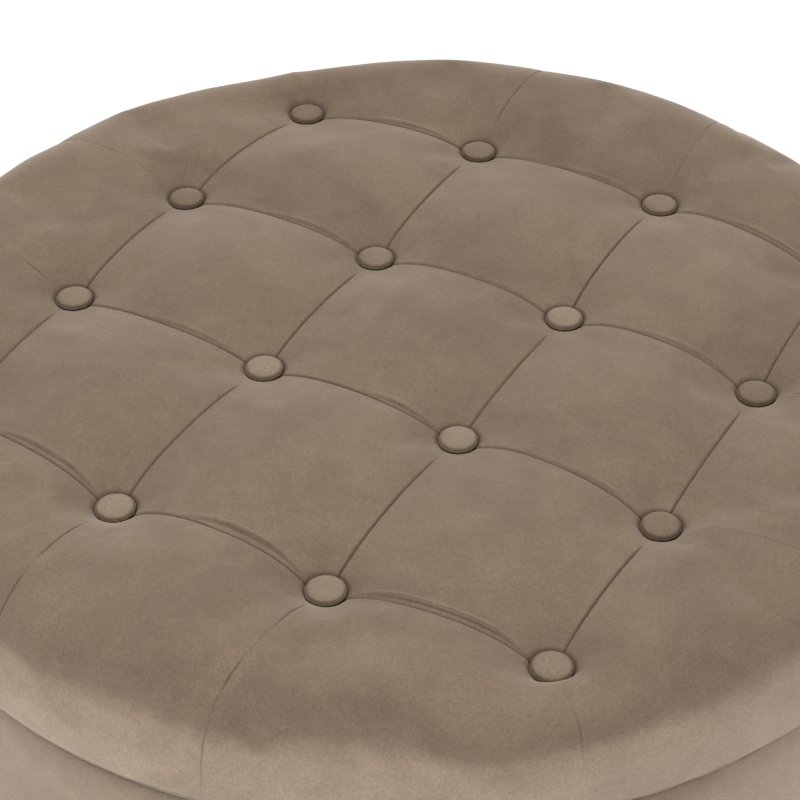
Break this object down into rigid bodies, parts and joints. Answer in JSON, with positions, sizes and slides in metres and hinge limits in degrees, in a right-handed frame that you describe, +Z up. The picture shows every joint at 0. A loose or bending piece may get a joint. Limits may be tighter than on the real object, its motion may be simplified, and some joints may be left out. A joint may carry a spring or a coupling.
{
  "type": "ottoman with storage",
  "caption": "Round drum ottoman with a button-tufted velvet cushion lid hinged at the back over a lined storage space, on short turned wooden legs.",
  "frame": {"origin": "on the floor, under the centre of the drum (centre of the bounding box's bottom face)", "axes": "+Z up, the shortest extent; +Y to the back, where the lid's hinges are; +X to the right seen from the front"},
  "size_m": [0.61, 0.61, 0.44],
  "materials": {
    "velvet": "soft pile velvet, matt with a light bloom at grazing angles",
    "button_velvet": "velvet stretched over a button",
    "foam": "open-cell upholstery foam",
    "board": "raw fibreboard and plywood",
    "lining": "plain woven lining",
    "leg_wood": "dark stained, satin varnish",
    "steel": "bright zinc plate",
    "glide_plastic": "moulded",
    "bumper_rubber": "matt"
  },
  "bodies": {
    "base": {"bumper_left": "bumper_rubber", "bumper_right": "bumper_rubber", "drum_velvet_sleeve": "velvet", "dust_cover": "lining", "hinge_base_leaf_left": "steel", "hinge_base_leaf_right": "steel", "hinge_base_screw_left_a": "steel", "hinge_base_screw_left_b": "steel", "hinge_base_screw_right_a": "steel", "hinge_base_screw_right_b": "steel", "hinge_pin_left": "steel", "hinge_pin_right": "steel", "leg_back_left": "leg_wood", "leg_back_right": "leg_wood", "leg_bolt_back_left": "steel", "leg_bolt_back_right": "steel", "leg_bolt_front_left": "steel", "leg_bolt_front_right": "steel", "leg_front_left": "leg_wood", "leg_front_right": "leg_wood", "leg_glide_back_left": "glide_plastic", "leg_glide_back_right": "glide_plastic", "leg_glide_front_left": "glide_plastic", "leg_glide_front_right": "glide_plastic", "storage_floor_board": "board", "storage_floor_liner": "lining", "storage_lining": "lining", "top_ring": "board", "wall_fibreboard": "board", "wall_foam_wrap": "foam", "wall_post_back": "board", "wall_post_front": "board", "wall_post_left": "board", "wall_post_right": "board"},
    "lid": {"hinge_lid_leaf_left": "steel", "hinge_lid_leaf_right": "steel", "hinge_lid_screw_left_a": "steel", "hinge_lid_screw_left_b": "steel", "hinge_lid_screw_right_a": "steel", "hinge_lid_screw_right_b": "steel", "lid_board": "board", "lid_foam_pad": "foam", "lid_lining": "lining", "lid_velvet_cover": "velvet", "tuft_button_r1c1": "button_velvet", "tuft_button_r1c2": "button_velvet", "tuft_button_r1c3": "button_velvet", "tuft_button_r1c4": "button_velvet", "tuft_button_r2c1": "button_velvet", "tuft_button_r2c2": "button_velvet", "tuft_button_r2c3": "button_velvet", "tuft_button_r2c4": "button_velvet", "tuft_button_r3c1": "button_velvet", "tuft_button_r3c2": "button_velvet", "tuft_button_r3c3": "button_velvet", "tuft_button_r3c4": "button_velvet", "tuft_button_r4c1": "button_velvet", "tuft_button_r4c2": "button_velvet", "tuft_button_r4c3": "button_velvet", "tuft_button_r4c4": "button_velvet"}
  },
  "joints": [
    {"name": "lid_hinge", "type": "hinge", "parent": "base", "child": "lid", "pos_m": [0, 0.3007, 0.36635], "axis": [-1, 0, 0], "range_deg": [0, 100]}
  ]
}
